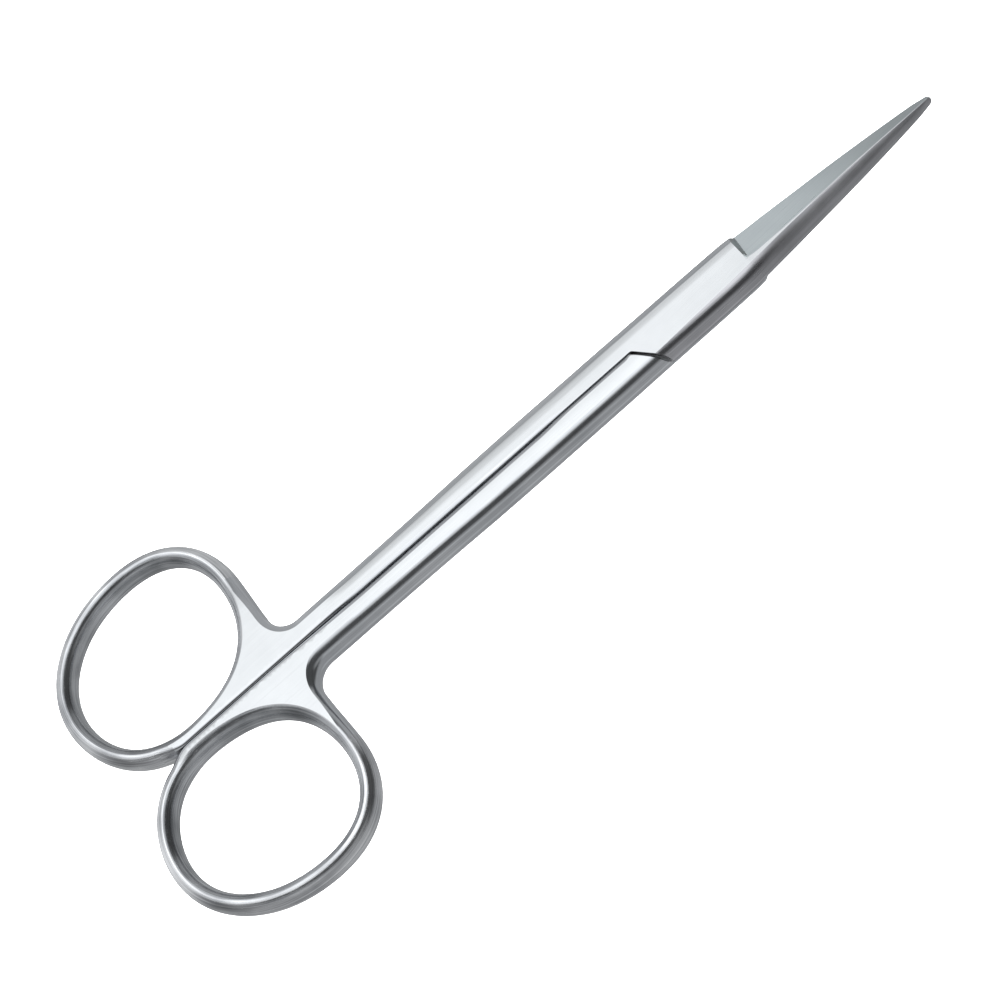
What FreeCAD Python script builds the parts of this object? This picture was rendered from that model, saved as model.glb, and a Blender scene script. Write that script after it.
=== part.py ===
import FreeCAD, Part
import math
import os
import Sketcher
from FreeCAD import Placement, Rotation, Vector

# Straight iris scissors, 115 mm long, built as two forged halves and one joint screw.
#
# Both halves are the same forging. Each is modelled in its own frame: +X towards the
# tips, +Y towards its own finger ring, z = 0 on the plane where the two halves meet,
# x = 0 where the seam between the shanks ends at the lap. The lower half is the upper
# one turned half a turn about X.
# In the part's frame the scissors lie closed on z = 0, with +X along the length to the
# tips and the origin below the middle of the length.

doc = FreeCAD.newDocument("iris_scissors")

# ---------------------------------------------------------------- driving dimensions
dims = doc.addObject("Spreadsheet::Sheet", "dims")
ROWS = [
    # whole object
    ("overall_length", 115.0, "ring end to tip"),
    ("thickness", 3.6, "across the flats of shanks and lap"),
    ("half_thickness", None, "=thickness / 2"),
    ("lap_play", 0.02, "each lap face stands this far from the parting plane"),
    ("seam_play", 0.02, "each shank's inner face stands this far from the middle"),
    # where the fit frame sits in the part's frame
    ("shift_x", 16.117, "middle of the length to the end of the seam"),
    # finger ring: an oval ring of oval stock
    ("ring_mid_x", -61.008, "ring centre, along the length"),
    ("ring_mid_y", 11.446, "ring centre, off the middle"),
    ("ring_major", 11.665, "half the longer diameter at the middle of the stock"),
    ("ring_minor", 10.36, "half the shorter one"),
    ("ring_turn", 22.8, "degrees from +X to the longer diameter"),
    ("stock_half_wide", 1.13, "ring stock, half its width in plan"),
    ("stock_half_high", 1.70, "ring stock, half its height"),
    # web between ring and shank
    ("notch_r", 2.7, "radius in the notch between ring and shank"),
    ("notch_wall_x", -48.75, "front wall of the web"),
    ("web_end_x", -44.0, "where the web runs into the shank"),
    ("web_side_y", 3.2, "side of the shank there"),
    ("web_tail_x", -64.6, "rear end of the flat where the rings touch"),
    ("web_edge", 1.1, "rounding of the notch's edges"),
    # shank and lap: flat top and bottom, convex sides
    ("side_bulge", 1.22, "how far a side stands out past the flat"),
    ("sec_a_x", -47.2, "section stations along the shank"),
    ("sec_b_x", -34.0, ""),
    ("sec_c_x", -16.0, ""),
    ("sec_d_x", 3.2, ""),
    ("flat_a", 1.97, "half the closed flat at each station"),
    ("flat_b", 2.04, ""),
    ("flat_c", 2.28, ""),
    ("flat_d", 2.20, ""),
    # shoulders of the lap, straight and slanted in plan
    ("shoulder_x", -0.38, "where the shoulder line crosses the middle"),
    ("shoulder_run", 0.80, "x gained for each mm across"),
    ("shoulder_play", 0.04, "gap at the shoulders when closed"),
    # lap stations: the spine side's flat narrows towards the blade
    ("lap_m_x", 9.0, "middle of the lap"),
    ("lap_e_x", 15.85, "end of the lap, the blade's shoulder"),
    ("lap_m_side", 3.37, "side of the lap"),
    ("lap_e_side", 3.27, ""),
    ("lap_m_edge", 2.15, "flat's edge on the cutting side"),
    ("lap_e_edge", 2.05, ""),
    ("lap_m_spine", 2.05, "flat's edge on the spine side"),
    ("lap_e_spine", 1.68, ""),
    # blade stations
    ("blade_a_x", 15.4, ""), ("blade_b_x", 20.0, ""), ("blade_c_x", 26.0, ""),
    ("blade_d_x", 32.0, ""), ("blade_e_x", 38.0, ""), ("blade_f_x", 41.383, "tip"),
    ("wide_a", 3.20, "half width of the blade at each station"), ("wide_b", 2.87, ""),
    ("wide_c", 2.35, ""), ("wide_d", 1.79, ""), ("wide_e", 1.08, ""), ("wide_f", 0.46, ""),
    ("high_a", 1.80, "ridge height at each station"), ("high_b", 1.68, ""),
    ("high_c", 1.47, ""), ("high_d", 1.22, ""), ("high_e", 0.88, ""), ("high_f", 0.56, ""),
    ("spine_a", 1.68, "ridge edge towards the spine"), ("spine_b", 1.40, ""),
    ("spine_c", 0.98, ""), ("spine_d", 0.68, ""), ("spine_e", 0.42, ""), ("spine_f", 0.18, ""),
    ("facet_a", 0.75, "ridge edge towards the ground facet"), ("facet_b", 0.95, ""),
    ("facet_c", 0.85, ""), ("facet_d", 0.60, ""), ("facet_e", 0.36, ""), ("facet_f", 0.14, ""),
    ("edge_back", 0.10, "cutting edge inside the other blade's spine"),
    ("edge_land", 0.15, "height of the honed land at the cutting edge"),
    ("edge_lean", 0.05, "how far the land leans in"),
    # seam bevels
    ("seam_bevel_y", 0.22, "bevel along the shank's inner edges, across"),
    ("seam_bevel_z", 0.34, "the same, down"),
    ("seam_bevel_end", -11.5, "where the wide bevel stops"),
    # joint screw
    ("pivot_x", 8.0, "screw axis"),
    ("pin_r", 1.10, "screw's plain shank"),
    ("pin_play", 0.03, "running clearance of the lower half on it"),
    ("thread_r", 0.90, "threaded end"),
    ("thread_depth", 1.35, "how far the thread stands in the upper half"),
    ("head_r", 1.65, "countersunk head"),
    ("head_land", 0.10, "straight rim of the head"),
    ("head_sink", 0.05, "head below the face"),
    ("head_play", 0.05, "room round the head's rim"),
    ("slot_wide", 0.55, "driver slot"),
    ("slot_deep", 0.35, ""),
]
D = {}
for n, (alias, value, note) in enumerate(ROWS, start=1):
    dims.set("A%d" % n, alias)
    if value is None:
        dims.set("B%d" % n, note)
    else:
        dims.set("B%d" % n, repr(float(value)))
        dims.set("C%d" % n, note)
    dims.setAlias("B%d" % n, alias)
doc.recompute()
for alias, value, note in ROWS:
    D[alias] = float(dims.get(alias))
ZT = D["half_thickness"]


# ---------------------------------------------------------------- helpers
def plane_of(body, role):
    return [f for f in body.Origin.OriginFeatures if f.Role == role][0]


def new_sketch(body, name, role, offset=None, shift=None):
    """A sketch on one of the body's own origin planes, moved along its normal."""
    sk = body.newObject("Sketcher::SketchObject", name)
    sk.AttachmentSupport = [(plane_of(body, role), "")]
    sk.MapMode = "FlatFace"
    if offset is not None:
        value = D[offset] if isinstance(offset, str) else offset
        sk.AttachmentOffset = Placement(Vector(0, 0, value), Rotation())
        if isinstance(offset, str):
            sk.setExpression("AttachmentOffset.Base.z", "dims." + offset)
    return sk


def bind(sk, kind, args, value, expr, name):
    """A dimensional constraint that reads the sheet."""
    i = sk.addConstraint(Sketcher.Constraint(kind, *args, value))
    sk.renameConstraint(i, name)
    sk.setExpression("Constraints." + name, expr)
    return i


def con(sk, kind, *args):
    return sk.addConstraint(Sketcher.Constraint(kind, *args))


def arc_through(cy, r, a0, a1):
    return Part.ArcOfCircle(Part.Circle(Vector(cy, 0, 0), Vector(0, 0, 1), r), a0, a1)


def bulge_radius(a, z=ZT):
    """Radius of a side that stands out by a and is centred on the parting plane."""
    return (a * a + z * z) / (2 * a)


# ---------------------------------------------------------------- sections
def full_section(body, name, x_alias, flat_alias):
    """Both closed shanks in one: flats at +-half_thickness, convex sides."""
    sk = new_sketch(body, name, "YZ_Plane", x_alias)
    ye = D[flat_alias]
    r = bulge_radius(D["side_bulge"])
    cy = ye + D["side_bulge"] - r
    al = math.asin(ZT / r)
    sk.addGeometry(Part.LineSegment(Vector(-ye, ZT, 0), Vector(ye, ZT, 0)))
    sk.addGeometry(arc_through(cy, r, -al, al))
    sk.addGeometry(Part.LineSegment(Vector(ye, -ZT, 0), Vector(-ye, -ZT, 0)))
    sk.addGeometry(arc_through(-cy, r, math.pi - al, math.pi + al))
    con(sk, "Coincident", 0, 2, 1, 2)
    con(sk, "Coincident", 1, 1, 2, 1)
    con(sk, "Coincident", 2, 2, 3, 2)
    con(sk, "Coincident", 3, 1, 0, 1)
    con(sk, "Symmetric", 0, 1, 0, 2, -2)
    con(sk, "Horizontal", 2)
    con(sk, "PointOnObject", 1, 3, -1)
    con(sk, "PointOnObject", 3, 3, -1)
    con(sk, "Equal", 1, 3)
    bind(sk, "DistanceY", (-1, 1, 0, 2), ZT, "dims.half_thickness", "top")
    bind(sk, "DistanceY", (2, 1, -1, 1), ZT, "dims.half_thickness", "bottom")
    bind(sk, "DistanceX", (0, 1, 0, 2), 2 * ye, "2 * dims." + flat_alias, "flat")
    bind(sk, "Radius", (1,), r,
         "(dims.side_bulge * dims.side_bulge + dims.half_thickness * dims.half_thickness) / (2 * dims.side_bulge)",
         "side_r")
    return sk


def lap_section(body, name, x_alias, side_expr, edge_expr, spine_expr, side, edge, spine):
    """Upper half of the lap: flat inner face, flat top, two convex sides."""
    sk = new_sketch(body, name, "YZ_Plane", x_alias)
    g = D["lap_play"]
    r1 = bulge_radius(side - edge)
    r2 = bulge_radius(side - spine)
    c1, c2 = side - r1, -(side - r2)
    w1 = c1 + math.sqrt(r1 * r1 - g * g)
    w2 = c2 - math.sqrt(r2 * r2 - g * g)
    sk.addGeometry(Part.LineSegment(Vector(w2, g, 0), Vector(w1, g, 0)))
    sk.addGeometry(arc_through(c1, r1, math.asin(g / r1), math.asin(ZT / r1)))
    sk.addGeometry(Part.LineSegment(Vector(edge, ZT, 0), Vector(-spine, ZT, 0)))
    sk.addGeometry(arc_through(c2, r2, math.pi - math.asin(ZT / r2), math.pi - math.asin(g / r2)))
    con(sk, "Coincident", 0, 2, 1, 1)
    con(sk, "Coincident", 1, 2, 2, 1)
    con(sk, "Coincident", 2, 2, 3, 1)
    con(sk, "Coincident", 3, 2, 0, 1)
    con(sk, "Horizontal", 0)
    con(sk, "Horizontal", 2)
    con(sk, "PointOnObject", 1, 3, -1)
    con(sk, "PointOnObject", 3, 3, -1)
    bind(sk, "DistanceY", (-1, 1, 0, 1), g, "dims.lap_play", "play")
    bind(sk, "DistanceY", (-1, 1, 2, 1), ZT, "dims.half_thickness", "top")
    bind(sk, "DistanceX", (-1, 1, 2, 1), edge, edge_expr, "edge")
    bind(sk, "DistanceX", (2, 2, -1, 1), spine, spine_expr, "spine")
    a1 = "(%s - %s)" % (side_expr, edge_expr)
    a2 = "(%s - %s)" % (side_expr, spine_expr)
    z2 = "dims.half_thickness * dims.half_thickness"
    bind(sk, "Radius", (1,), r1, "(%s * %s + %s) / (2 * %s)" % (a1, a1, z2, a1), "edge_side_r")
    bind(sk, "Radius", (3,), r2, "(%s * %s + %s) / (2 * %s)" % (a2, a2, z2, a2), "spine_side_r")
    return sk


def blade_section(body, name, key):
    """Blade: flat inner face, honed land, ground facet, narrow ridge, convex spine."""
    sk = new_sketch(body, name, "YZ_Plane", "blade_%s_x" % key)
    g = D["lap_play"]
    w, hi, sp, fa = (D["%s_%s" % (k, key)] for k in ("wide", "high", "spine", "facet"))
    ce = w - D["edge_back"] if key != "f" else w
    ce_expr = "dims.wide_%s - dims.edge_back" % key if key != "f" else "dims.wide_f"
    land, lean = D["edge_land"], D["edge_lean"]
    r = bulge_radius(w - sp, hi)
    cy = -(w - r)
    wb = cy - math.sqrt(r * r - g * g)
    sk.addGeometry(Part.LineSegment(Vector(wb, g, 0), Vector(ce, g, 0)))
    sk.addGeometry(Part.LineSegment(Vector(ce, g, 0), Vector(ce - lean, land, 0)))
    sk.addGeometry(Part.LineSegment(Vector(ce - lean, land, 0), Vector(-fa, hi, 0)))
    sk.addGeometry(Part.LineSegment(Vector(-fa, hi, 0), Vector(-sp, hi, 0)))
    sk.addGeometry(arc_through(cy, r, math.pi - math.asin(hi / r), math.pi - math.asin(g / r)))
    con(sk, "Coincident", 0, 2, 1, 1)
    con(sk, "Coincident", 1, 2, 2, 1)
    con(sk, "Coincident", 2, 2, 3, 1)
    con(sk, "Coincident", 3, 2, 4, 1)
    con(sk, "Coincident", 4, 2, 0, 1)
    con(sk, "Horizontal", 0)
    con(sk, "Horizontal", 3)
    con(sk, "PointOnObject", 4, 3, -1)
    bind(sk, "DistanceY", (-1, 1, 0, 1), g, "dims.lap_play", "play")
    bind(sk, "DistanceX", (-1, 1, 0, 2), ce, ce_expr, "cutting_edge")
    bind(sk, "DistanceX", (1, 2, 1, 1), lean, "dims.edge_lean", "lean")
    bind(sk, "DistanceY", (-1, 1, 1, 2), land, "dims.edge_land", "land")
    bind(sk, "DistanceY", (-1, 1, 3, 1), hi, "dims.high_" + key, "ridge")
    bind(sk, "DistanceX", (3, 1, -1, 1), fa, "dims.facet_" + key, "facet")
    bind(sk, "DistanceX", (3, 2, -1, 1), sp, "dims.spine_" + key, "spine")
    a = "(dims.wide_%s - dims.spine_%s)" % (key, key)
    bind(sk, "Radius", (4,), r, "(%s * %s + dims.high_%s * dims.high_%s) / (2 * %s)" % (a, a, key, key, a),
         "spine_r")
    return sk


def loft(body, name, sections, ruled=False):
    f = body.newObject("PartDesign::AdditiveLoft", name)
    f.Profile = sections[0]
    f.Sections = sections[1:]
    f.Ruled = ruled
    f.Closed = False
    f.Refine = False
    return f


def closed_polygon(sk, pts):
    """Straight-sided outline, each corner fixed by two distances from the origin."""
    n = len(pts)
    for i in range(n):
        a, b = pts[i], pts[(i + 1) % n]
        sk.addGeometry(Part.LineSegment(Vector(a[0][0], a[1][0], 0), Vector(b[0][0], b[1][0], 0)))
    for i in range(n):
        con(sk, "Coincident", i, 2, (i + 1) % n, 1)
    for i in range(n):
        (xv, xe), (yv, ye) = pts[i]
        for kind, v, e, tag in (("DistanceX", xv, xe, "px%d" % i), ("DistanceY", yv, ye, "py%d" % i)):
            if e is None and v == 0:
                con(sk, "PointOnObject", i, 1, -2 if kind == "DistanceX" else -1)
            else:
                j = con(sk, kind, -1, 1, i, 1, v)
                sk.renameConstraint(j, tag)
                if e is not None:
                    sk.setExpression("Constraints." + tag, e)
    return sk


def P(x, y, xe=None, ye=None):
    return ((x, xe), (y, ye))


def check(feature, what):
    doc.recompute()
    s = feature.Shape
    print("%-22s volume %9.3f  valid %s  solids %d" % (what, s.Volume, s.isValid(), len(s.Solids)))
    return s.Volume


# ---------------------------------------------------------------- one half
def make_half(name, threaded):
    body = doc.addObject("PartDesign::Body", name)
    body.Label = name

    # finger ring: oval stock swept round an oval path
    path = new_sketch(body, name + "_ring_path", "XY_Plane")
    turn = math.radians(D["ring_turn"])
    mid = Vector(D["ring_mid_x"], D["ring_mid_y"], 0)
    ux = Vector(math.cos(turn), math.sin(turn), 0)
    uy = Vector(-math.sin(turn), math.cos(turn), 0)
    el = Part.Ellipse(mid + ux * D["ring_major"], mid + uy * D["ring_minor"], mid)
    path.addGeometry(el)
    path.exposeInternalGeometry(0)
    path_major = [i for i, g in enumerate(path.Geometry) if i > 0 and isinstance(g, Part.LineSegment)
                  and abs(g.length() - 2 * D["ring_major"]) < 1e-4][0]
    path_minor = [i for i, g in enumerate(path.Geometry) if i > 0 and isinstance(g, Part.LineSegment)
                  and abs(g.length() - 2 * D["ring_minor"]) < 1e-4][0]
    bind(path, "DistanceX", (0, 3, -1, 1), -D["ring_mid_x"], "-dims.ring_mid_x", "mid_x")
    bind(path, "DistanceY", (-1, 1, 0, 3), D["ring_mid_y"], "dims.ring_mid_y", "mid_y")
    bind(path, "Distance", (path_major,), 2 * D["ring_major"], "2 * dims.ring_major", "major")
    bind(path, "Distance", (path_minor,), 2 * D["ring_minor"], "2 * dims.ring_minor", "minor")
    g = path.Geometry[path_major]
    ang = math.atan2(g.EndPoint.y - g.StartPoint.y, g.EndPoint.x - g.StartPoint.x)
    off = round((math.degrees(ang) - D["ring_turn"]) / 180.0) * 180.0
    i = path.addConstraint(Sketcher.Constraint("Angle", path_major, ang))
    path.renameConstraint(i, "turn")
    path.setExpression("Constraints.turn", "dims.ring_turn + %g" % off)

    # stock section, in the plane across the path at the end of its longer diameter
    sec = body.newObject("Sketcher::SketchObject", name + "_ring_stock")
    sec.AttachmentSupport = [(plane_of(body, "XY_Plane"), "")]
    sec.MapMode = "FlatFace"
    start = mid + ux * D["ring_major"]
    rot = Rotation(ux, Vector(0, 0, 1), ux.cross(Vector(0, 0, 1)), "XYZ")
    sec.AttachmentOffset = Placement(start, rot)
    sec.setExpression("AttachmentOffset.Base.x", "dims.ring_mid_x + dims.ring_major * cos(dims.ring_turn * 1 deg)")
    sec.setExpression("AttachmentOffset.Base.y", "dims.ring_mid_y + dims.ring_major * sin(dims.ring_turn * 1 deg)")
    hw, hh = D["stock_half_wide"], D["stock_half_high"]
    sec.addGeometry(Part.Ellipse(Vector(0, hh, 0), Vector(hw, 0, 0), Vector(0, 0, 0)))
    sec.exposeInternalGeometry(0)
    lines = [i for i, g in enumerate(sec.Geometry) if i > 0 and isinstance(g, Part.LineSegment)]
    long_i = max(lines, key=lambda i: sec.Geometry[i].length())
    short_i = min(lines, key=lambda i: sec.Geometry[i].length())
    con(sec, "Coincident", 0, 3, -1, 1)
    con(sec, "Vertical", long_i)
    bind(sec, "Distance", (long_i,), 2 * hh, "2 * dims.stock_half_high", "high")
    bind(sec, "Distance", (short_i,), 2 * hw, "2 * dims.stock_half_wide", "wide")
    doc.recompute()

    ring = body.newObject("PartDesign::AdditivePipe", name + "_ring")
    ring.Profile = sec
    ring.Spine = (path, ["Edge1"])
    ring.Mode = "Binormal"
    ring.Binormal = Vector(0, 0, 1)
    ring.Refine = False
    check(ring, name + " ring")

    # web: a flat plate from the middle of the ring stock to the notch and the shank
    web = new_sketch(body, name + "_web_plan", "XY_Plane")
    sy, wx, wy = D["seam_play"], D["web_end_x"], D["web_side_y"]
    nx, nr, tx = D["notch_wall_x"], D["notch_r"], D["web_tail_x"]
    # ring path points where the web leaves the stock
    def on_path(deg):
        a = math.radians(deg)
        return mid + ux * (D["ring_major"] * math.cos(a)) + uy * (D["ring_minor"] * math.sin(a))
    p_tail = on_path(-131.0)
    p_front = on_path(-22.0)
    top_y = 10.6
    web.addGeometry(Part.LineSegment(Vector(tx, sy, 0), Vector(wx, sy, 0)))            # 0 seam
    web.addGeometry(Part.LineSegment(Vector(wx, sy, 0), Vector(wx, wy, 0)))            # 1
    web.addGeometry(Part.LineSegment(Vector(wx, wy, 0), Vector(nx + nr, wy, 0)))       # 2
    web.addGeometry(Part.ArcOfCircle(Part.Circle(Vector(nx + nr, wy + nr, 0), Vector(0, 0, 1), nr),
                                     math.pi, 1.5 * math.pi))                          # 3 notch
    web.addGeometry(Part.LineSegment(Vector(nx, wy + nr, 0), Vector(nx, top_y, 0)))    # 4 wall
    web.addGeometry(Part.LineSegment(Vector(nx, top_y, 0), p_front))                   # 5
    # 6: back along the middle of the stock
    e2 = Part.Ellipse(mid + ux * D["ring_major"], mid + uy * D["ring_minor"], mid)
    a_t = math.radians(-131.0)
    a_f = math.radians(-22.0)
    web.addGeometry(Part.ArcOfEllipse(e2, a_t, a_f))                                   # 6
    web.addGeometry(Part.LineSegment(p_tail, Vector(tx, sy, 0)))                       # 7
    con(web, "Coincident", 0, 2, 1, 1)
    con(web, "Coincident", 1, 2, 2, 1)
    con(web, "Horizontal", 0)
    con(web, "Vertical", 1)
    con(web, "Horizontal", 2)
    con(web, "Tangent", 2, 2, 3, 2)
    con(web, "Tangent", 3, 1, 4, 1)
    con(web, "Vertical", 4)
    con(web, "Coincident", 4, 2, 5, 1)
    con(web, "Coincident", 5, 2, 6, 2)
    con(web, "Coincident", 6, 1, 7, 1)
    con(web, "Coincident", 7, 2, 0, 1)
    bind(web, "DistanceY", (-1, 1, 0, 1), sy, "dims.seam_play", "play")
    bind(web, "DistanceX", (0, 1, -1, 1), -tx, "-dims.web_tail_x", "tail")
    bind(web, "DistanceX", (0, 2, -1, 1), -wx, "-dims.web_end_x", "front")
    bind(web, "DistanceY", (-1, 1, 1, 2), wy, "dims.web_side_y", "side")
    bind(web, "Radius", (3,), nr, "dims.notch_r", "notch")
    bind(web, "DistanceX", (4, 1, -1, 1), -nx, "-dims.notch_wall_x", "wall")
    plate = body.newObject("PartDesign::Pad", name + "_web")
    plate.Profile = web
    plate.Midplane = True
    plate.Length = 2 * ZT
    plate.setExpression("Length", "dims.thickness")
    plate.Refine = False
    check(plate, name + " web")
    # the notch's long edges are rounded over, above and below
    names = []
    for i, e in enumerate(plate.Shape.Edges, start=1):
        m = e.valueAt((e.FirstParameter + e.LastParameter) / 2)
        if abs(abs(m.z) - ZT) < 1e-3 and nx - 0.01 <= m.x < wx - 0.01 and wy - 0.01 <= m.y < top_y \
                and e.Length > 1.0 and (abs(m.x - nx) < 1e-3 or m.y < wy + nr) \
                and not (isinstance(e.Curve, Part.Line) and abs(m.x - nx) > 1e-3 and abs(m.y - wy) > 1e-3):
            names.append("Edge%d" % i)
    soft = body.newObject("PartDesign::Fillet", name + "_web_edges")
    soft.Base = (plate, names)
    soft.Radius = D["web_edge"]
    soft.setExpression("Radius", "dims.web_edge")
    soft.Refine = False
    check(soft, name + " web edges (%d)" % len(names))

    # shanks: one convex-sided bar for both, cut down the seam later
    secs = [full_section(body, name + "_sec_" + k, "sec_%s_x" % k, "flat_" + k) for k in "abcd"]
    doc.recompute()
    bar = loft(body, name + "_bar", secs)
    check(bar, name + " bar")

    # what belongs to the mate: everything across the seam, up to the slanted shoulder
    cut1 = new_sketch(body, name + "_seam_plan", "XY_Plane")
    sx, run, pl = D["shoulder_x"], D["shoulder_run"], D["shoulder_play"]
    far = 6.0
    closed_polygon(cut1, [
        P(-90, sy, None, "dims.seam_play"),
        P(-90, -far), P(sx + run * far, -far, "dims.shoulder_x + dims.shoulder_run * 6", None),
        P(sx - run * sy, sy, "dims.shoulder_x - dims.shoulder_run * dims.seam_play", "dims.seam_play"),
    ])
    mate1 = body.newObject("PartDesign::Pocket", name + "_seam_cut")
    mate1.Profile = cut1
    mate1.Type = "ThroughAll"
    mate1.Midplane = True
    mate1.Refine = False
    v = check(mate1, name + " seam cut")

    # the mate's lap fills the lower half beyond the shoulder line
    cut2 = new_sketch(body, name + "_lap_plan", "XY_Plane", "lap_play")
    closed_polygon(cut2, [
        P(sx - pl, 0, "dims.shoulder_x - dims.shoulder_play", None),
        P(sx - pl + run * far, far, "dims.shoulder_x - dims.shoulder_play + dims.shoulder_run * 6", None),
        P(60, far), P(60, -far),
        P(sx - pl, -far, "dims.shoulder_x - dims.shoulder_play", None),
    ])
    mate2 = body.newObject("PartDesign::Pocket", name + "_lap_cut")
    mate2.Profile = cut2
    mate2.Type = "ThroughAll"
    mate2.Refine = False
    mate2.Reversed = False
    check(mate2, name + " lap cut")

    # bevels along the shank's two inner edges
    by, bz = D["seam_bevel_y"], D["seam_bevel_z"]
    bev = new_sketch(body, name + "_bevel", "YZ_Plane", "seam_bevel_end")
    for k, s in enumerate((1, -1)):
        pts = [Vector(-0.3, s * ZT * 1.2, 0), Vector(by + sy, s * ZT * 1.2, 0), Vector(by + sy, s * ZT, 0),
               Vector(sy, s * (ZT - bz), 0), Vector(-0.3, s * (ZT - bz), 0)]
        b = 5 * k
        for i in range(5):
            bev.addGeometry(Part.LineSegment(pts[i], pts[(i + 1) % 5]))
        for i in range(5):
            con(bev, "Coincident", b + i, 2, b + (i + 1) % 5, 1)
        con(bev, "Vertical", b + 1)
        con(bev, "Horizontal", b + 0)
        con(bev, "Horizontal", b + 3)
        con(bev, "Vertical", b + 4)
        con(bev, "DistanceX", b, 1, -1, 1, 0.3)
        if s > 0:
            con(bev, "DistanceY", -1, 1, b, 1, ZT * 1.2)
            bind(bev, "DistanceY", (-1, 1, b + 2, 1), ZT, "dims.half_thickness", "face%d" % k)
            bind(bev, "DistanceY", (b + 3, 1, b + 2, 1), bz, "dims.seam_bevel_z", "down%d" % k)
        else:
            con(bev, "DistanceY", b, 1, -1, 1, ZT * 1.2)
            bind(bev, "DistanceY", (b + 2, 1, -1, 1), ZT, "dims.half_thickness", "face%d" % k)
            bind(bev, "DistanceY", (b + 2, 1, b + 3, 1), bz, "dims.seam_bevel_z", "down%d" % k)
        bind(bev, "DistanceX", (-1, 1, b + 2, 1), by + sy, "dims.seam_bevel_y + dims.seam_play", "in%d" % k)
        bind(bev, "DistanceX", (-1, 1, b + 3, 1), sy, "dims.seam_play", "play%d" % k)
    groove = body.newObject("PartDesign::Pocket", name + "_bevels")
    groove.Profile = bev
    groove.Type = "Length"
    groove.Length = 60.0
    groove.Refine = False
    v0 = mate2.Shape.Volume
    if check(groove, name + " bevels") > v0 - 0.5:
        groove.Reversed = True
        check(groove, name + " bevels, turned")

    # lap and blade
    lap = [
        lap_section(body, name + "_lap_d", "sec_d_x", "(dims.flat_d + dims.side_bulge)", "dims.flat_d",
                    "dims.flat_d", D["flat_d"] + D["side_bulge"], D["flat_d"], D["flat_d"]),
        lap_section(body, name + "_lap_m", "lap_m_x", "dims.lap_m_side", "dims.lap_m_edge", "dims.lap_m_spine",
                    D["lap_m_side"], D["lap_m_edge"], D["lap_m_spine"]),
        lap_section(body, name + "_lap_e", "lap_e_x", "dims.lap_e_side", "dims.lap_e_edge", "dims.lap_e_spine",
                    D["lap_e_side"], D["lap_e_edge"], D["lap_e_spine"]),
    ]
    doc.recompute()
    lapf = loft(body, name + "_lap", lap)
    check(lapf, name + " lap")
    blade = [blade_section(body, name + "_blade_" + k, k) for k in "abcdef"]
    doc.recompute()
    bladef = loft(body, name + "_blade", blade)
    check(bladef, name + " blade")

    # joint screw's hole: blind and threaded here, or running and countersunk there
    hole = new_sketch(body, name + "_hole_profile", "XZ_Plane")
    hole.AttachmentOffset = Placement(Vector(D["pivot_x"], 0, 0), Rotation())
    hole.setExpression("AttachmentOffset.Base.x", "dims.pivot_x")
    if threaded:
        depth = D["lap_play"] + D["thread_depth"] + 0.1
        pts = [P(0, -0.5), P(D["thread_r"], -0.5, "dims.thread_r"),
               P(D["thread_r"], depth, "dims.thread_r", "dims.lap_play + dims.thread_depth + 0.1"),
               P(0, depth + 0.25, None, "dims.lap_play + dims.thread_depth + 0.35")]
    else:
        br = D["pin_r"] + D["pin_play"]
        cr = D["head_r"] + D["head_play"]
        # the head's cone, moved out square to itself by the running clearance
        zb = ZT - D["head_sink"] - D["head_land"] - (D["head_r"] - D["pin_r"]) \
            + D["pin_play"] * (1 - math.sqrt(2))
        zb_expr = ("dims.half_thickness - dims.head_sink - dims.head_land - (dims.head_r - dims.pin_r)"
                   " - 0.41421 * dims.pin_play")
        pts = [P(0, -0.5), P(br, -0.5, "dims.pin_r + dims.pin_play"),
               P(br, zb, "dims.pin_r + dims.pin_play", zb_expr),
               P(cr, zb + cr - br, "dims.head_r + dims.head_play",
                 zb_expr + " + dims.head_r + dims.head_play - dims.pin_r - dims.pin_play"),
               P(cr, ZT + 0.5, "dims.head_r + dims.head_play", "dims.half_thickness + 0.5"),
               P(0, ZT + 0.5, None, "dims.half_thickness + 0.5")]
    closed_polygon(hole, pts)
    doc.recompute()
    drill = body.newObject("PartDesign::Groove", name + "_hole")
    drill.Profile = hole
    drill.ReferenceAxis = (hole, ["V_Axis"])
    drill.Angle = 360
    drill.Refine = False
    check(drill, name + " hole")
    tip = drill
    body.Tip = tip
    return body


upper = make_half("upper_half", True)
lower = make_half("lower_half", False)
upper.Placement = Placement(Vector(D["shift_x"], 0, ZT), Rotation())
upper.setExpression("Placement.Base.x", "dims.shift_x")
upper.setExpression("Placement.Base.z", "dims.half_thickness")
lower.Placement = Placement(Vector(D["shift_x"], 0, ZT), Rotation(Vector(1, 0, 0), 180))
lower.setExpression("Placement.Base.x", "dims.shift_x")
lower.setExpression("Placement.Base.z", "dims.half_thickness")

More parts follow.
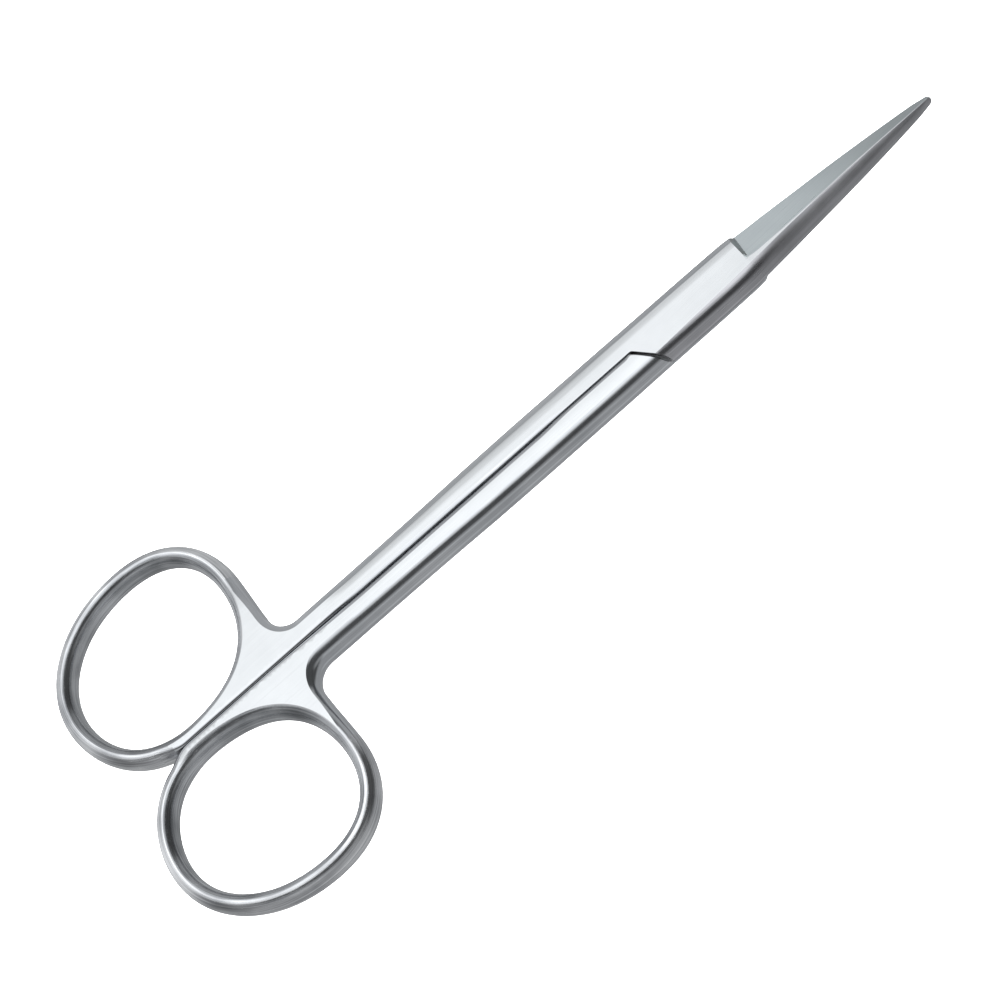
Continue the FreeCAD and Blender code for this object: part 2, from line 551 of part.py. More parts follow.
# ---------------------------------------------------------------- joint screw
# Turned about its own axis; z = 0 is the parting plane, the head is at the bottom.
screw = doc.addObject("PartDesign::Body", "pivot_screw")
screw.Label = "pivot_screw"
sk = new_sketch(screw, "screw_profile", "XZ_Plane")
zh = -(ZT - D["head_sink"])                        # head's flat
zl = zh + D["head_land"]                           # top of the straight rim
zc = zl + (D["head_r"] - D["pin_r"])               # cone meets the plain shank
zs = D["lap_play"]                                 # plain shank ends on the upper lap face
zt = D["lap_play"] + D["thread_depth"]             # end of the thread
pts = [(0, zh), (D["head_r"], zh), (D["head_r"], zl), (D["pin_r"], zc), (D["pin_r"], zs),
       (D["thread_r"], zs), (D["thread_r"], zt - 0.15), (D["thread_r"] - 0.15, zt), (0, zt)]
for i in range(len(pts)):
    a, b = pts[i], pts[(i + 1) % len(pts)]
    sk.addGeometry(Part.LineSegment(Vector(a[0], a[1], 0), Vector(b[0], b[1], 0)))
n = len(pts)
for i in range(n):
    con(sk, "Coincident", i, 2, (i + 1) % n, 1)
con(sk, "PointOnObject", 0, 1, -2)
con(sk, "PointOnObject", n - 1, 1, -2)
for i in (0, 4, 7):
    con(sk, "Horizontal", i)
for i in (1, 3, 5):
    con(sk, "Vertical", i)
bind(sk, "DistanceY", (0, 1, -1, 1), -zh, "dims.half_thickness - dims.head_sink", "head_flat")
bind(sk, "DistanceX", (-1, 1, 0, 2), D["head_r"], "dims.head_r", "head_r")
bind(sk, "DistanceY", (1, 1, 1, 2), D["head_land"], "dims.head_land", "head_land")
bind(sk, "DistanceY", (2, 1, 2, 2), D["head_r"] - D["pin_r"], "dims.head_r - dims.pin_r", "cone")
bind(sk, "DistanceX", (-1, 1, 3, 2), D["pin_r"], "dims.pin_r", "pin_r")
bind(sk, "DistanceY", (-1, 1, 4, 1), zs, "dims.lap_play", "shoulder")
bind(sk, "DistanceX", (-1, 1, 5, 1), D["thread_r"], "dims.thread_r", "thread_r")
bind(sk, "DistanceY", (-1, 1, 7, 1), zt, "dims.lap_play + dims.thread_depth", "thread_end")
con(sk, "DistanceX", 7, 1, 5, 1, 0.15)
con(sk, "DistanceY", 5, 2, 7, 1, 0.15)
doc.recompute()
turned = screw.newObject("PartDesign::Revolution", "screw_turned")
turned.Profile = sk
turned.ReferenceAxis = (sk, ["V_Axis"])
turned.Angle = 360
turned.Refine = False
check(turned, "screw turned")
sl = new_sketch(screw, "slot_plan", "XY_Plane")
w = D["slot_wide"]
sl.addGeometry(Part.LineSegment(Vector(-3, -w / 2, 0), Vector(3, -w / 2, 0)))
sl.addGeometry(Part.LineSegment(Vector(3, -w / 2, 0), Vector(3, w / 2, 0)))
sl.addGeometry(Part.LineSegment(Vector(3, w / 2, 0), Vector(-3, w / 2, 0)))
sl.addGeometry(Part.LineSegment(Vector(-3, w / 2, 0), Vector(-3, -w / 2, 0)))
for i in range(4):
    con(sl, "Coincident", i, 2, (i + 1) % 4, 1)
con(sl, "Horizontal", 0)
con(sl, "Horizontal", 2)
con(sl, "Vertical", 1)
con(sl, "Vertical", 3)
con(sl, "Symmetric", 0, 1, 2, 1, -1, 1)
bind(sl, "DistanceY", (1, 1, 1, 2), w, "dims.slot_wide", "slot_wide")
con(sl, "DistanceX", 0, 1, 0, 2, 6.0)
sl.AttachmentOffset = Placement(Vector(0, 0, zh + D["slot_deep"]), Rotation())
sl.setExpression("AttachmentOffset.Base.z", "dims.head_sink + dims.slot_deep - dims.half_thickness")
slot = screw.newObject("PartDesign::Pocket", "screw_slot")
slot.Profile = sl
slot.Type = "Length"
slot.Length = 3.0
slot.Refine = False
v0 = turned.Shape.Volume
if check(slot, "screw slot") > v0 - 0.1:
    slot.Reversed = True
    check(slot, "screw slot, turned")
screw.Tip = slot
screw.Placement = Placement(Vector(D["shift_x"] + D["pivot_x"], 0, ZT), Rotation(Vector(0, 0, 1), 35))
screw.setExpression("Placement.Base.x", "dims.shift_x + dims.pivot_x")
screw.setExpression("Placement.Base.z", "dims.half_thickness")

# ---------------------------------------------------------------- checks and export
doc.recompute()
bad = [o.Name for o in doc.Objects if "Invalid" in o.State or "Error" in o.State]
if bad:
    raise RuntimeError("failed objects: %s" % ", ".join(bad))
bodies = (upper, lower, screw)
for b in bodies:
    s = b.Shape
    if s.isNull() or not s.isValid() or len(s.Solids) != 1:
        raise RuntimeError("%s is not one valid solid" % b.Label)
    bb = s.BoundBox
    print("%-12s volume %9.3f mm3, box %.3f..%.3f, %.3f..%.3f, %.3f..%.3f" % (
        b.Label, s.Volume, bb.XMin, bb.XMax, bb.YMin, bb.YMax, bb.ZMin, bb.ZMax))
os.makedirs("parts", exist_ok=True)
for b in bodies:
    b.Shape.exportStep("parts/%s.step" % b.Label)
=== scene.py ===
import math

import bmesh
import bpy
import numpy as np
from mathutils import Matrix, Vector
from mathutils.geometry import delaunay_2d_cdt


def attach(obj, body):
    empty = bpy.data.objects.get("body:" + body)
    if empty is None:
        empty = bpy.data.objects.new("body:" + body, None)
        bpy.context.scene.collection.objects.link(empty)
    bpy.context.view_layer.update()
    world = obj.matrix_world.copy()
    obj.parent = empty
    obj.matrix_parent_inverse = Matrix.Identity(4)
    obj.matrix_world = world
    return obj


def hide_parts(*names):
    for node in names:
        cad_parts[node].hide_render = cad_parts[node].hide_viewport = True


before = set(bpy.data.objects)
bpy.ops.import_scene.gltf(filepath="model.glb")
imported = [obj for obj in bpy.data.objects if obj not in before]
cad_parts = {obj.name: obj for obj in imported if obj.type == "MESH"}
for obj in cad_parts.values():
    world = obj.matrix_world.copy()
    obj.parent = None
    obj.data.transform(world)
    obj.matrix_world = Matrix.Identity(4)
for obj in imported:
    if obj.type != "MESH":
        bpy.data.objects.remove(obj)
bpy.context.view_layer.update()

# All shapes are worked out in millimetres in one half's own frame: +X to the tips, +Y to
# its finger ring, z = 0 where the halves meet, x = 0 where the seam ends at the lap. The
# other half is the same forging turned half a turn about X.
SHIFT_X, ZT = 16.117, 1.8
PLAY = 0.02
PIVOT = 8.0


# ------------------------------------------------------------------ small maths
def smooth(t):
    t = np.clip(t, 0.0, 1.0)
    return t * t * (3 - 2 * t)


def curve(xs, ys):
    """Smooth curve through points with no overshoot."""
    xs, ys = np.asarray(xs, float), np.asarray(ys, float)
    h, d = np.diff(xs), np.diff(ys) / np.diff(xs)
    m = np.zeros_like(xs)
    m[0], m[-1] = d[0], d[-1]
    for k in range(1, len(xs) - 1):
        if d[k - 1] * d[k] > 0:
            w1, w2 = 2 * h[k] + h[k - 1], h[k] + 2 * h[k - 1]
            m[k] = (w1 + w2) / (w1 / d[k - 1] + w2 / d[k])

    def f(x):
        x = np.clip(x, xs[0], xs[-1])
        k = np.clip(np.searchsorted(xs, x) - 1, 0, len(xs) - 2)
        t = (x - xs[k]) / h[k]
        return ((1 + 2 * t) * (1 - t) ** 2 * ys[k] + t * (1 - t) ** 2 * h[k] * m[k]
                + t * t * (3 - 2 * t) * ys[k + 1] + t * t * (t - 1) * h[k] * m[k + 1])
    return f


def softmin(a, b, r):
    return 0.5 * (a + b - math.sqrt((a - b) ** 2 + r * r))


def bow_r(a, z):
    return (a * a + z * z) / (2 * a)


# ------------------------------------------------------------------ mesh store
class Store:
    """Faces with a two-way surface coordinate in mm: along the grain, across it."""

    def __init__(self):
        self.v, self.f, self.uv, self.m = [], [], [], []
        self.n = 0

    def points(self, p):
        p = np.asarray(p, float).reshape(-1, 3)
        self.v.append(p)
        self.n += len(p)
        return self.n - len(p)

    def grid(self, p, uv, mat, closed=False):
        """p and uv are (rows, columns, 3 or 2); closed joins the last row to the first."""
        rows, cols = p.shape[:2]
        base = self.points(p)
        for i in range(rows if closed else rows - 1):
            j = (i + 1) % rows
            for k in range(cols - 1):
                self.f.append((base + i * cols + k, base + j * cols + k,
                               base + j * cols + k + 1, base + i * cols + k + 1))
                ua, ub = uv[i, k], uv[i, k + 1]
                step = uv[1, k] - uv[0, k] if j == 0 else uv[j, k] - ua
                self.uv.append((ua, ua + step, ub + step, ub))
                self.m.append(mat if np.isscalar(mat) else mat[k])

    def tris(self, p, faces, uv, mat):
        base = self.points(p)
        for f in faces:
            self.f.append(tuple(base + i for i in f))
            self.uv.append(tuple(uv[i] for i in f))
            self.m.append(mat)


# ------------------------------------------------------------------ finger ring
HW, HH = 1.131, 1.689           # ring stock, half width and half height
COS = {1: 0.0, 2: 0.458, 3: -0.094, 4: -0.144, 5: -0.036, 6: 0.005}
SIN = {1: 0.0, 2: 0.469, 3: 0.042, 4: -0.033, 5: 0.017, 6: -0.019}


def ring_c(th):
    r = 11.020 + sum(COS[k] * np.cos(k * th) + SIN[k] * np.sin(k * th) for k in COS)
    return np.stack([-60.999 + r * np.cos(th), 11.446 + r * np.sin(th)], -1)


def ring_n(th):
    t = ring_c(th + 1e-4) - ring_c(th - 1e-4)
    t /= np.linalg.norm(t, axis=-1, keepdims=True)
    return np.stack([t[..., 1], -t[..., 0]], -1)


N_TH = 480
TH = np.radians(np.arange(N_TH) * 360.0 / N_TH)
I0, I1 = 6, 320                 # where the web's outline leaves the ring, front and rear
C, NRM = ring_c(TH), ring_n(TH)
X1, Y0 = C[I1, 0], C[I0, 1]
BLEND = 3.0                     # length over which the rings' tubes run into the seam
N_T = 33
T = np.linspace(0, math.pi, N_T)
RIM_IN = -0.09                  # on the web the flat stops this far short of the stock's middle


def web(x, y):
    """0 on the free ring, 1 on the flat web."""
    return smooth((x - X1) / BLEND) * smooth((Y0 - y) / 4.5)


def wrap(st):
    """The ring's own tube, with its hole side as the web's inner wall."""
    arc = np.concatenate([[0], np.cumsum(np.linalg.norm(np.diff(C, axis=0), axis=1))])
    # hole side
    p = np.zeros((N_TH, N_T, 3))
    uv = np.zeros((N_TH, N_T, 2))
    a = HW - RIM_IN
    r = bow_r(a, ZT)
    al = math.asin(ZT / r) * (1 - 2 * T / math.pi)
    for i in range(N_TH):
        w = float(web(*C[i])) if (i >= I1 or i <= I0) else 0.0
        n = -((1 - w) * HW * np.sin(T) + w * (RIM_IN + r * np.cos(al) - (r - a)))
        z = (1 - w) * HH * np.cos(T) + w * r * np.sin(al)
        p[i, :, :2] = C[i] + n[:, None] * NRM[i]
        p[i, :, 2] = z
        uv[i, :, 0] = arc[i]
        uv[i, :, 1] = 40 + T * 1.5
    # the hole side takes the darker copy of the ring steel: painted shade inside the finger hole
    st.grid(p, uv, [6] * 1 + [5] * (N_T - 3) + [6] * 1, closed=True)
    rim = p[:, 0].copy()
    # outer side, only where the ring stands free
    idx = np.arange(I0, I1 + 1)
    q = np.zeros((len(idx), N_T, 3))
    uq = np.zeros((len(idx), N_T, 2))
    for k, i in enumerate(idx):
        q[k, :, :2] = C[i] + (HW * np.sin(T))[:, None] * NRM[i]
        q[k, :, 2] = HH * np.cos(T)
        uq[k, :, 0] = arc[i]
        uq[k, :, 1] = 40 - T * 1.5
    st.grid(q, uq, 6)
    return rim


# ------------------------------------------------------------------ long profiles
BOW = 1.34
ye = curve([-46.5, -40, -34, -28, -22, -16, -10, -4, 2, 8, 14, 15.3],
           [1.85, 1.88, 1.92, 2.00, 2.12, 2.16, 2.15, 2.13, 2.08, 2.05, 1.99, 1.94])
ym_lap = curve([8, 12, 14, 15.3, 16.1], [3.39, 3.355, 3.32, 3.22, 3.08])
ye2 = curve([-1, 2, 5, 9, 13, 15.3, 20, 26, 32, 38, 41.383],
            [2.20, 2.20, 2.08, 1.90, 1.72, 1.58, 1.22, 0.80, 0.53, 0.34, 0.14])
ym2 = curve([-1, 2, 5, 9, 14, 15.4, 17.5, 20, 24, 28, 32, 36, 39, 41, 41.383],
            [3.48, 3.42, 3.40, 3.37, 3.31, 3.22, 3.056, 2.872, 2.523, 2.184, 1.789, 1.342, 0.947, 0.526, 0.44])
zr = curve([15.3, 20, 26, 32, 38, 41.383], [1.8, 1.68, 1.47, 1.22, 0.88, 0.57])
yf = curve([15.3, 17, 20, 23, 26, 30, 34, 38, 41.383], [0.84, 0.98, 0.95, 0.85, 0.73, 0.51, 0.38, 0.27, 0.10])
TIP = 41.383
SH0, RUN = -0.38, 0.80
GAP = 0.38                       # play between the two shoulders, along X
RAMP0, RAMP1 = 15.3, 16.1


def ym(x):
    return ye(x) + BOW if x < 8 else float(ym_lap(x))


def bevel(x):
    """Width and end angle of the soft edge along the upper inner side."""
    k, m = float(smooth((x + 43.5) / 5.0)), float(smooth((x + 12.0) / 3.0))
    w = 0.34
    return w + (0.07 - w) * m, math.radians(50.0 - 24.0 * k)


def round_w(x):
    """Width and end angle of the rounding along the lower inner edge."""
    m = float(smooth((x + 14.0) / 5.0))
    w = 0.36 + 0.36 * float(smooth((x + 52) / 14.0)) - 0.20 * m
    return w + (0.17 - w) * float(smooth((x + 1.6) / 1.5)), math.radians(60.0 - 24.0 * m)


ROUND0 = math.radians(8.0)


def rounding(w, a1, n, depth=None):
    """Offsets from the wall and depths below the flat, from the flat to the wall."""
    q = np.linspace(ROUND0, a1, n)
    r = w / (math.sin(a1) - math.sin(ROUND0))
    off = w - r * (np.sin(q) - math.sin(ROUND0))
    dep = r * (math.cos(ROUND0) - np.cos(q))
    if depth is not None and dep[-1] > depth:
        dep = dep * depth / dep[-1]
    return off, dep


N_BEV, N_WALL = 8, 10            # upper soft edge and wall
N_RND, N_WALL2 = 9, 9            # lower wall and rounding


def seam_profile(x, top=ZT, w=1.0):
    """Inner side of the shank from the top rim down to the bottom rim, N_S points."""
    off, dep = rounding(*bevel(x), N_BEV)
    up = [(PLAY + o, top - e) for o, e in zip(off, dep)]
    up += [(PLAY, z) for z in np.linspace(top - dep[-1], PLAY, N_WALL)[1:]]
    off, dep = rounding(*round_w(x), N_RND)
    dn = [(PLAY, z) for z in np.linspace(PLAY, -(top - dep[-1]), N_WALL2)]
    dn += [(PLAY + o, -(top - e)) for o, e in list(zip(off, dep))[::-1][1:]]
    return np.array(up + dn)


N_S = 2 * (N_BEV + N_WALL - 1)
T_SEAM = np.concatenate([np.linspace(0, math.pi / 2, N_S // 2), np.linspace(math.pi / 2, math.pi, N_S // 2)])
X_LOFT = -44.0
N_G = (4, 6, 12)                 # segments of the top flat: inner strip, middle, outer part


FALL0 = 1.05


def fall(x, y, e):
    """How far the flat has fallen away at y, towards its outer edge e."""
    k = float(smooth((x + 43.5) / 5.0))
    m = float(smooth((x + 9.0) / 9.0))
    t = np.maximum(y - FALL0, 0.0)
    span = max(e - FALL0, 0.3)
    soft = math.tan(math.radians(9.5)) * t * t / (2 * span)
    w = 0.70
    tt = np.clip(t / w, 0, 1)
    flat_ = math.tan(math.radians(6.2)) * (w * (tt ** 3 - 0.5 * tt ** 4) + np.maximum(t - w, 0))
    return k * ((1 - m) * soft + m * flat_)


def flat(x, y_in):
    """Points of a shank or lap flat from y_in out to the side's edge, and their z."""
    e = max(float(ye(x)), y_in)
    q = max(FALL0, y_in)
    k = 0.0 if x < 3 else float(smooth((x - 3) / 10))
    f = (1 - k) * (y_in + 0.3 * (q - y_in)) + k * (-float(yf(max(x, RAMP0))))
    ys = np.concatenate([np.linspace(y_in, f, N_G[0] + 1), np.linspace(f, q, N_G[1] + 1)[1:],
                         np.linspace(q, e, N_G[2] + 1)[1:]])
    return ys, ZT - fall(x, ys, e)


# ------------------------------------------------------------------ handle: web and notch
def handle(st):
    rim = wrap(st)
    # notch: outline at its widest, from the ring's outer side to the shank
    n0 = NRM[I0]
    p0 = C[I0] + HW * n0
    t0 = np.array([n0[1], -n0[0]])
    xa = -46.2
    yc = ym(xa) + 2.6
    a1 = np.array([xa - 2.6, yc])
    b1, b2 = p0 + t0 * 2.4, a1 + np.array([0, 2.4])
    u = np.linspace(0, 1, 41)[:, None]
    o = (1 - u) ** 3 * p0 + 3 * u * (1 - u) ** 2 * b1 + 3 * u * u * (1 - u) * b2 + u ** 3 * a1
    ang = np.radians(np.linspace(180, 270, 37))[1:]
    arc = np.stack([xa + 2.6 * np.cos(ang), yc + 2.6 * np.sin(ang)], -1)
    xs = np.linspace(xa, X_LOFT, 9)[1:]
    o = np.vstack([o, arc, np.stack([xs, [ym(x) for x in xs]], -1)])
    tan = np.gradient(o, axis=0)
    # rows are unevenly spaced, so the exact directions replace the estimates where known
    tan[0] = t0
    for k, a in enumerate(ang):
        tan[41 + k] = (-math.sin(a), math.cos(a))
    tan[40] = (0, -1)
    for k in range(len(xs)):
        tan[41 + len(ang) + k] = (1, (ym(xs[k] + 0.01) - ym(xs[k] - 0.01)) / 0.02)
    tan[-1] = (1, 0)
    tan /= np.linalg.norm(tan, axis=1, keepdims=True)
    nn = np.stack([-tan[:, 1], tan[:, 0]], -1)
    s = np.concatenate([[0], np.cumsum(np.linalg.norm(np.diff(o, axis=0), axis=1))])
    g = np.zeros((len(o), N_T, 3))
    uv = np.zeros((len(o), N_T, 2))
    for k in range(len(o)):
        if k <= 40:
            a = HW + (0.80 - HW) * float(smooth(k / 34))
        else:
            a = 0.80 + (BOW - 0.80) * float(smooth((k - 40) / 34))
        rm = o[k] - a * nn[k]
        w = float(web(*rm))
        zt = HH + (ZT - HH) * w
        r = bow_r(a, zt)
        al = math.asin(zt / r) * (1 - 2 * T / math.pi)
        n = (1 - w) * a * np.sin(T) + w * (r * np.cos(al) - (r - a))
        z = (1 - w) * zt * np.cos(T) + w * r * np.sin(al)
        g[k, :, :2] = rm + n[:, None] * nn[k]
        g[k, :, 2] = z
        uv[k, :, 0] = -50 - s[-1] + s[k]
        uv[k, :, 1] = 20 + T * 1.5
    st.grid(g, uv, 1)
    notch_rim = g[:, 0]
    # seam side
    xs = np.concatenate([X1 + BLEND * np.linspace(0, 1, 25), np.linspace(X1 + BLEND, X_LOFT, 46)[1:]])
    low = np.arange(I1, N_TH - 60)
    q = np.zeros((len(xs), N_S, 3))
    uq = np.zeros((len(xs), N_S, 2))
    for k, x in enumerate(xs):
        w = float(smooth((x - X1) / BLEND))
        prof = seam_profile(x)
        p1 = np.stack([np.full(N_S, x), prof[:, 0], prof[:, 1]], -1)
        if w < 1:
            th = np.interp(x, C[low, 0], TH[low])
            c, n = ring_c(th), ring_n(th)
            p = np.zeros((N_S, 3))
            p[:, :2] = c + (HW * np.sin(T_SEAM))[:, None] * n
            p[:, 2] = HH * np.cos(T_SEAM)
            p[:, 1] = np.maximum(p[:, 1], PLAY)
            p1 = (1 - w) * p + w * p1
        q[k] = p1
        uq[k, :, 0] = x
        uq[k, :, 1] = np.linspace(0, 4, N_S) - 8
    # the rear end is still the ring's own tube
    st.grid(q[:13], uq[:13], 6)
    st.grid(q[12:], uq[12:], [1] * (N_BEV - 1) + [2] * (N_S - N_BEV - N_RND + 1) + [1] * (N_RND - 1))
    # the web's two flats
    hole = np.vstack([rim[I1:], rim[:I0 + 1]])
    for sign, srim, y_in in ((1, q[:, 0], q[-1, 0, 1]), (-1, q[:, -1], q[-1, -1, 1])):
        ys, zs = flat(X_LOFT, y_in)
        end = np.stack([np.full(len(ys), X_LOFT), ys, zs], -1)
        edge = srim * (1, 1, sign)
        loop = np.vstack([hole, notch_rim[1:], end[::-1][1:], edge[::-1][1:-1]])
        patch(st, loop, sign)


def patch(st, loop, sign):
    n = len(loop)
    flat2 = loop[:, :2]
    nxt = np.roll(flat2, -1, axis=0)

    def inside(pt):
        x, y = pt
        c = ((flat2[:, 1] > y) != (nxt[:, 1] > y)) & \
            (x < (nxt[:, 0] - flat2[:, 0]) * (y - flat2[:, 1]) / (nxt[:, 1] - flat2[:, 1] + 1e-12) + flat2[:, 0])
        return bool(c.sum() % 2)

    extra = []
    step = 0.34
    for i, gx in enumerate(np.arange(X1, X_LOFT, step)):
        for gy in np.arange(0.3, Y0, step):
            p = np.array([gx, gy + (0.17 if i % 2 else 0)])
            if np.min(np.hypot(*(flat2 - p).T)) > 0.2 and inside(p):
                extra.append(p)
    pts = np.vstack([flat2] + ([np.array(extra)] if extra else []))
    edges = [(i, (i + 1) % n) for i in range(n)]
    vc, _, fc, ov, _, _ = delaunay_2d_cdt([Vector(p) for p in pts], edges, [], 1, 1e-7)
    z = HH + (ZT - HH) * web(pts[:, 0], pts[:, 1])
    z[:n] = loop[:, 2]
    out = np.zeros((len(vc), 3))
    for i, v in enumerate(vc):
        out[i, :2] = v
        out[i, 2] = z[ov[i][0]] if ov[i] else ZT
    out[:, 2] *= sign
    uvw = np.stack([out[:, 0], out[:, 1] + (0 if sign > 0 else 60)], -1)
    st.tris(out, fc if sign > 0 else [tuple(reversed(f)) for f in fc], uvw, 0)


# ------------------------------------------------------------------ shank, lap and blade
def section(x):
    """One closed section, with material and across-grain coordinate for each stretch."""
    b, b_end = bevel(x)
    y_u = softmin(PLAY, -(x - SH0) / RUN, 0.10) if x > -2.2 else PLAY
    y_l = -softmin(-PLAY, -(x - SH0 + GAP) / RUN, 0.10) if x > -2.2 else PLAY
    tip = 1.0
    if x > TIP - 0.45:
        tip = math.sqrt(max(0.0, 1 - ((x - (TIP - 0.45)) / 0.45) ** 2))
    e2, m2 = float(ye2(x)) * tip, float(ym2(x)) * tip
    z_r = ZT if x < RAMP0 else PLAY + (float(zr(x)) - PLAY) * tip
    pts, mats, vs = [], [], []

    def add(new, mat, v0, dv=None):
        """A stretch that starts at the last point."""
        new = list(new)
        pts.extend(new)
        mats.extend([mat] * len(new) if np.isscalar(mat) else mat)
        ln = np.concatenate([[0], np.cumsum(np.hypot(*np.diff(np.array(new), axis=0).T))]) if len(new) > 1 else [0]
        vs.extend([v0 + l for l in ln])

    # spine side's bow
    a2 = max(m2 - e2, 1e-4)
    r2 = bow_r(a2, z_r)
    c2 = -(m2 - r2)

    def bow2(z):
        return c2 - math.sqrt(max(r2 * r2 - z * z, 0))
    y_base2 = bow2(PLAY)
    y_u = max(y_u, y_base2)

    def surf_z(y):
        if y >= -e2:
            return z_r
        return math.sqrt(max(r2 * r2 - (y - c2) ** 2, PLAY * PLAY)) if y > y_base2 else PLAY
    room = max(0.0, y_u - y_base2)
    bb = min(b, 0.4 * room + 1e-6) if x > -2.2 else b
    y_in = y_u + bb
    z_in = surf_z(y_in)
    b_off, b_dep = rounding(bb, b_end, N_BEV, 0.4 * max(z_in - PLAY, 1e-6))
    dd = float(b_dep[-1])
    # [F] spine bow up to the flat's edge
    if y_in < -e2:
        a_lo, a_hi = math.asin(min(1, z_in / r2)), math.asin(min(1, z_r / r2))
        al = np.linspace(a_lo, a_hi, 17)
        bow = [(c2 - r2 * math.cos(q), r2 * math.sin(q)) for q in al]
        if x > 3.0:
            # along the blade the spine side gets straighter between the same two edges
            th = (a_hi - a_lo) * (1 - 0.42 * float(smooth((x - 11) / 11)))
            p1, p0 = np.array(bow[0]), np.array(bow[-1])
            d = p0 - p1
            ln = max(float(np.hypot(*d)), 1e-6)
            u, nrm, rad = d / ln, np.array([-d[1], d[0]]) / ln, ln / (2 * math.sin(th / 2))
            bow = [tuple(0.5 * (p0 + p1) + u * rad * math.sin(q) + nrm * rad * (math.cos(q) - math.cos(th / 2)))
                   for q in np.linspace(-th / 2, th / 2, 17)]
        add(bow, 7, 70)
        start = (-e2, z_r)
    else:
        add([(y_in, z_in)] * 17, 7, 70)
        start = (y_in, z_in)
    # [G] the flat, or the ridge and the ground facet
    if x <= RAMP0:
        ys, zs = flat(x, start[0])
        e, z_e = ys[-1], zs[-1]
        add(zip(ys, zs), 0, 0)
    else:
        t = min(1.0, (x - RAMP0) / (RAMP1 - RAMP0))
        h = float(smooth(t))
        cut = (float(ym2(x)) - 0.10 * float(smooth((TIP - x) / 6))) * tip
        land = PLAY + 0.13 * tip
        z0 = flat(RAMP0, start[0])
        zq = z_r + 0.35 * (land - z_r)
        zs = np.concatenate([np.full(N_G[0] + 1, z_r), np.linspace(z_r, zq, N_G[1] + 1)[1:],
                             np.linspace(zq, land, N_G[2] + 1)[1:]])
        mat_g = [0] * N_G[0] + [3] * (len(zs) - N_G[0])
        if t < 1:
            wd = np.clip(0.34 + 0.28 * np.maximum(z0[1] - zs, 0), 0, RAMP1 - RAMP0)
            ti = np.clip((x - RAMP0) / wd, 0, 1)
            # where the flat drops steeply to the ground facet, the shoulder's wall takes the darkest steel: painted
            # shade
            mat_g = [8 if v < 0.92 and d > 0.10 else m for v, d, m in zip(ti, z0[1] - zs, mat_g)]
            # nothing at the ridge itself, so that it runs on without a step
            part = np.concatenate([np.linspace(0, 1, N_G[0] + 1), np.ones(len(zs) - N_G[0] - 1)])
            zs = zs + part * (z0[1] - zs) * np.where(ti < 0.6, 1 - 1.25 * ti, 0.25 * ((1 - ti) / 0.4) ** 2)
        z_e = float(zs[-1])
        aa = ym(x) - float(ye(x)) if x < RAMP1 else BOW
        rr = bow_r(max(aa, 0.5), ZT)

        def arc_y(z):
            return ym(min(x, RAMP1)) - rr + math.sqrt(max(rr * rr - z * z, 0))

        def edge_y(z):
            return (1 - h) * arc_y(z) + h * (cut - 0.05 * tip * (z - PLAY) / 0.13)
        e = edge_y(z_e)
        f = -float(yf(x)) * tip
        q = f + 0.35 * (e - f)
        ys = np.concatenate([np.linspace(start[0], f, N_G[0] + 1), np.linspace(f, q, N_G[1] + 1)[1:],
                             np.linspace(q, e, N_G[2] + 1)[1:]])
        if t < 1:
            ys = (1 - h) * np.asarray(z0[0]) + h * ys
            ys[-1] = e
        add(zip(ys, zs), mat_g, 0)
    # [A] outer side
    rw, r_end = round_w(x)
    yl_in = y_l + (min(rw, 0.4 * max(ym(x) - y_l, 0)) if x > -2.2 else rw)
    if x <= RAMP0:
        a = ym(x) - e
        r = bow_r(a, z_e)
        c = ym(x) - r
        top = math.asin(z_e / r)
        y_floor = c + math.sqrt(r * r - PLAY * PLAY)
        if yl_in >= y_floor:
            low = math.asin(PLAY / r)
        elif yl_in > e:
            low = -math.acos((yl_in - c) / r)
        else:
            low = -top
        al = np.linspace(top, low, N_T)
        add([(c + r * math.cos(q), r * math.sin(q)) for q in al], 1, 20)
    else:
        zz = np.linspace(z_e, PLAY, N_T)
        add([(edge_y(z), z) for z in zz], 4 if x > RAMP1 else 1, 20)
        yl_in = 1e9
        y_floor = edge_y(PLAY)
    last = pts[-1]
    # [B] lower flat
    if x <= RAMP0 and yl_in < e:
        ys, zs = flat(x, yl_in)
        add([(y, -z) for y, z in zip(ys[::-1], zs[::-1])], 0, 60)
        z_low = -zs[0]
    else:
        add([last] * (sum(N_G) + 1), 0, 60)
        yl_in, z_low = last
    # [C] lower bevel and wall
    full = x <= RAMP0 and last[1] < -1e-3
    if full:
        off, dep = rounding(yl_in - y_l, r_end, N_RND, 0.4 * max(-z_low - PLAY, 1e-4))
        up = [(y_l + o, z_low + e) for o, e in zip(off, dep)]
        up += [(y_l, z) for z in np.linspace(z_low + dep[-1], PLAY, N_WALL2)[1:]]
        y_face = y_l
    else:
        y_face = last[0]
        up = [(y_face, last[1])] * N_RND + [(y_face, PLAY)] * (N_WALL2 - 1)
    add(up, [1] * (N_RND - 1) + [2] * N_WALL2, 80)
    # [D] lap face
    ys = np.linspace(y_face, y_u, 13)
    add([(y, PLAY) for y in ys], 2, 30)
    # [E] upper wall and bevel
    up = [(y_u, z) for z in np.linspace(PLAY, z_in - dd, N_WALL)]
    up += [(y_u + o, z_in - e) for o, e in list(zip(b_off, b_dep))[::-1][1:]]
    add(up, [2] * (N_WALL - 1) + [1] * N_BEV, 90)
    return np.array(pts), mats, vs


